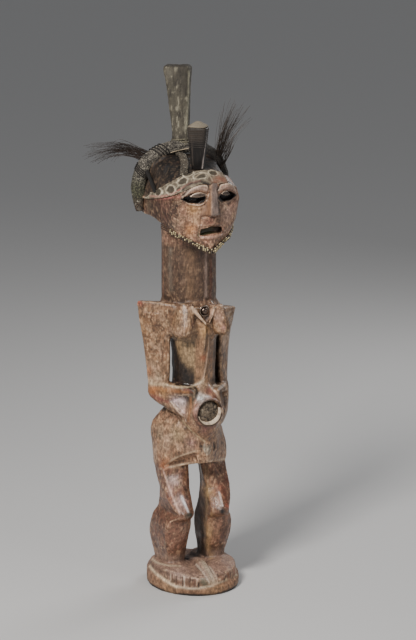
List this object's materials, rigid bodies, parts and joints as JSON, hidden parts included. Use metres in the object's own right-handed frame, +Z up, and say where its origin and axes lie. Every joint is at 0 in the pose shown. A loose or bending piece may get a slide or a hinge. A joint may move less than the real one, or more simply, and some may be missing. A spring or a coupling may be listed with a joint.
{
  "type": "carved power figure",
  "caption": "Standing carved wooden female figure with hands on the belly, a filled belly cavity, a chest stud, and a headdress of horns, hide, hair and beads, on a low oval base.",
  "frame": {"origin": "on the flat underside of the base, 3 mm in front of its centre, below the middle of the figure", "axes": "+Z up through the horns; the figure faces -Y and its own right hand is on -X"},
  "size_m": [0.2386, 0.1668, 0.797],
  "materials": {
    "wood": "worn, waxy patina with dust",
    "hide": "dry and scaly",
    "skin": "dry, with dark oval spots",
    "horn": "polished dark horn",
    "cord": "dark twisted cord",
    "hair": "dark coarse hair",
    "beads": "worn cream seed beads",
    "metal": "worn dark metal",
    "charge": "packed gritty paste",
    "plug": "pale packed clay"
  },
  "bodies": {
    "root": {"carved_figure": "wood", "belly_charge": "charge", "chest_stud": "metal", "hide_roll": "hide", "roll_binding_upper": "cord", "roll_binding_lower": "cord", "crown_strip": "hide", "side_strap": "cord", "brow_band": "skin", "tall_horn": "hide", "short_horn": "horn", "horn_plug": "plug", "hair_tuft_right": "hair", "hair_tuft_left": "hair", "jaw_beads": "beads"}
  },
  "joints": []
}
